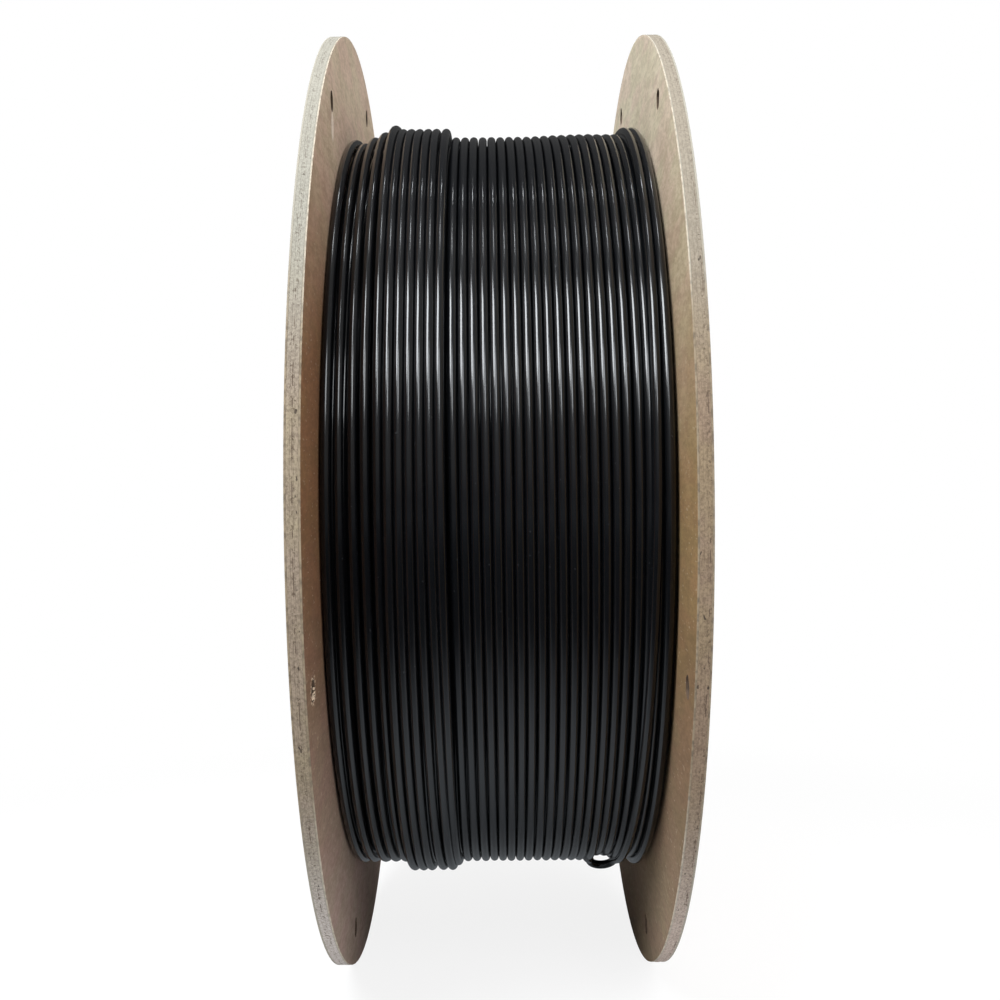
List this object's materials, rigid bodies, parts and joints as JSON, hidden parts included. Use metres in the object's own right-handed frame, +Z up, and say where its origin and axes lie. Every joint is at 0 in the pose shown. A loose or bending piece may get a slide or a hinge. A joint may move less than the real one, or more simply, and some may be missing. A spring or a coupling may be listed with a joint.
{
  "type": "filament spool",
  "caption": "Cardboard spool: round laminated board flanges glued to a paper tube core, wound with glossy black plastic filament for 3D printing.",
  "frame": {"origin": "on the spool's axis, midway between the flanges", "axes": "+X along the spool's axis, from the left flange to the right one; +Z up, the spool standing on its rims; -Y to the front"},
  "size_m": [0.0662, 0.2, 0.2],
  "materials": {
    "kraft_liner": "uncoated brown kraft paper, matt",
    "greyboard": "recycled greyboard, fibrous and matt",
    "tube_paper": "spiral-wound core board, matt",
    "kraft_wrap": "brown kraft paper wrap, matt",
    "collar_board": "punched greyboard, matt",
    "dried_glue": "dried white glue, faintly glossy",
    "black_filament": "extruded black plastic, glossy"
  },
  "bodies": {
    "root": {"left_outer_liner": "kraft_liner", "left_outer_ply": "greyboard", "left_middle_ply": "greyboard", "left_inner_ply": "greyboard", "left_inner_liner": "kraft_liner", "right_inner_liner": "kraft_liner", "right_inner_ply": "greyboard", "right_middle_ply": "greyboard", "right_outer_ply": "greyboard", "right_outer_liner": "kraft_liner", "core_inner_ply": "tube_paper", "core_body": "tube_paper", "core_outer_wrap": "kraft_wrap", "left_collar": "collar_board", "right_collar": "collar_board", "left_glue_bead": "dried_glue", "right_glue_bead": "dried_glue", "filament_inner_end": "black_filament", "filament_inner_layers": "black_filament", "filament_outer_turns": "black_filament"}
  },
  "joints": []
}
